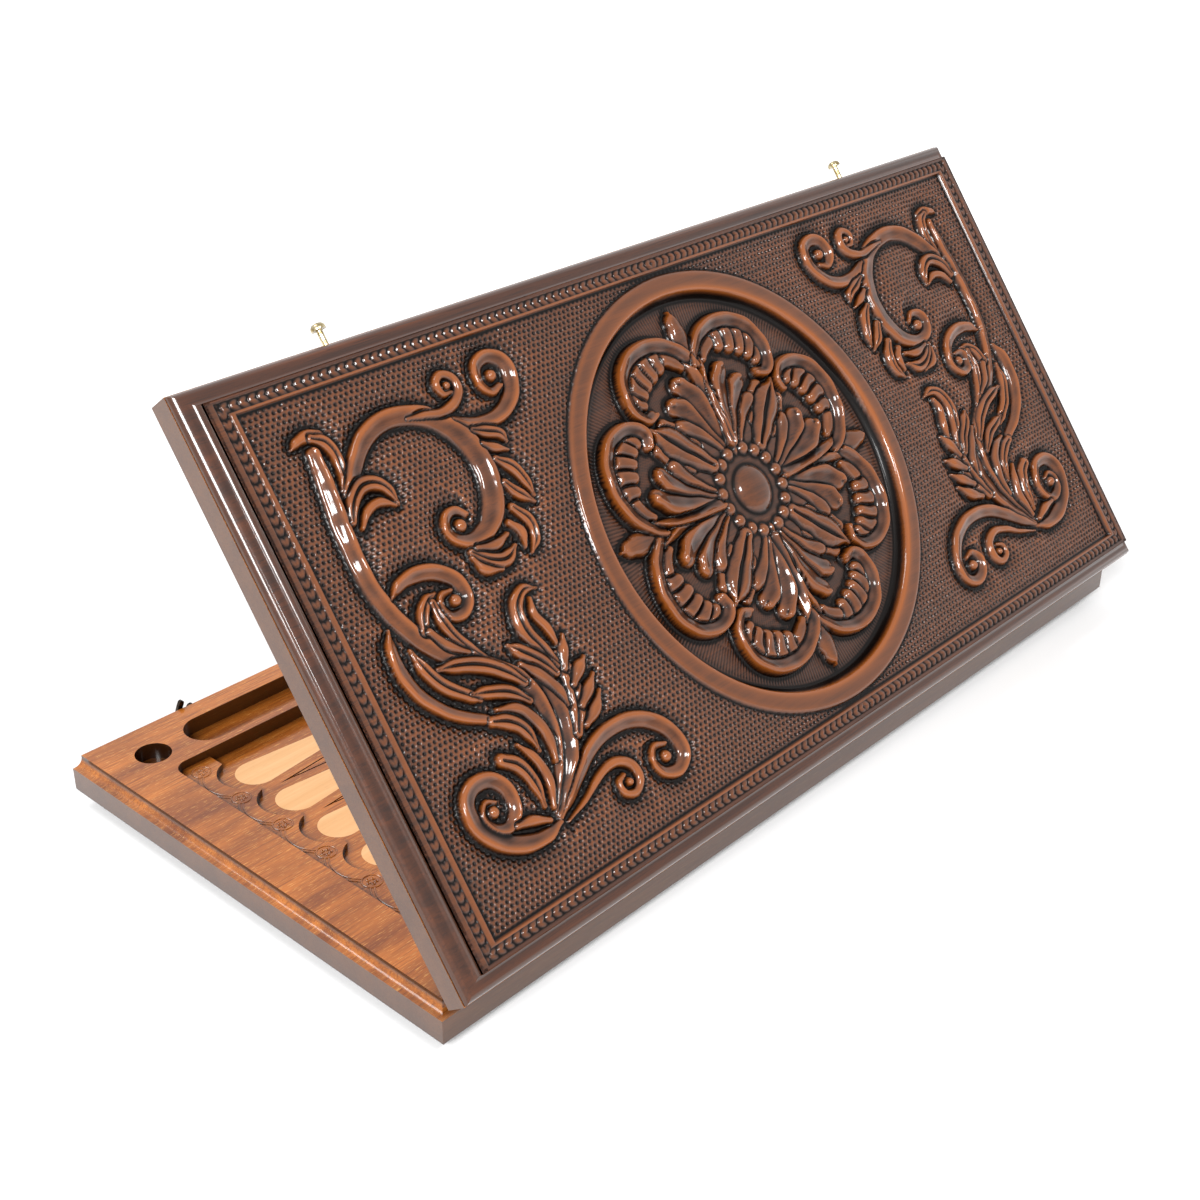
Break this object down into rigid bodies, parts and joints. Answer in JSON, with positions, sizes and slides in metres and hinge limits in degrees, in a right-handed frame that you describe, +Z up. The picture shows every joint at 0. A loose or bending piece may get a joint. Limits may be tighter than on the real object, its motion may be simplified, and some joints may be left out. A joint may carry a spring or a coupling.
{
  "type": "backgammon board",
  "caption": "Folding carved wooden backgammon board with two hinged halves, inlaid points, checker slots, dice wells, swing hooks and catch pins.",
  "frame": {"origin": "centre of the lower half's flat underside, at table level", "axes": "+X along the hinge line, +Y from the hinge towards the far edge with the hooks, +Z up"},
  "size_m": [0.58, 0.3057, 0.2725],
  "materials": {
    "tray_wood": "glossy lacquer over golden brown stain",
    "panel_wood": "glossy lacquer over dark walnut stain",
    "point_inlay": "satin lacquer over pale beech",
    "hinge_brass": "satin",
    "pin_brass": "polished",
    "hook_metal": "dark antiqued"
  },
  "bodies": {
    "lower_half": {"lower_tray": "tray_wood", "lower_base_panel": "panel_wood", "lower_light_points": "point_inlay", "hinge_lower_leaf_left": "hinge_brass", "hinge_pin_left": "hinge_brass", "hinge_lower_screws_left": "hinge_brass", "hook_washer_left": "hook_metal", "hook_screw_left": "hook_metal", "hinge_lower_leaf_right": "hinge_brass", "hinge_pin_right": "hinge_brass", "hinge_lower_screws_right": "hinge_brass", "hook_washer_right": "hook_metal", "hook_screw_right": "hook_metal"},
    "lid": {"lid_tray": "tray_wood", "lid_carved_panel": "panel_wood", "lid_light_points": "point_inlay", "hinge_lid_leaf_left": "hinge_brass", "hinge_lid_screws_left": "hinge_brass", "catch_pin_left": "pin_brass", "hinge_lid_leaf_right": "hinge_brass", "hinge_lid_screws_right": "hinge_brass", "catch_pin_right": "pin_brass"},
    "hook_left_body": {"hook_left": "hook_metal"},
    "hook_right_body": {"hook_right": "hook_metal"}
  },
  "joints": [
    {"name": "lid_hinge", "type": "hinge", "parent": "lower_half", "child": "lid", "pos_m": [0, -0.142, 0.028], "axis": [1, 0, 0], "range_deg": [-53.1, 126.9]},
    {"name": "hook_left_pivot", "type": "hinge", "parent": "lower_half", "child": "hook_left_body", "pos_m": [-0.198, 0.144, 0.018], "axis": [0, 1, 0], "range_deg": [0, 90]},
    {"name": "hook_right_pivot", "type": "hinge", "parent": "lower_half", "child": "hook_right_body", "pos_m": [0.198, 0.144, 0.018], "axis": [0, 1, 0], "range_deg": [0, 90]}
  ]
}
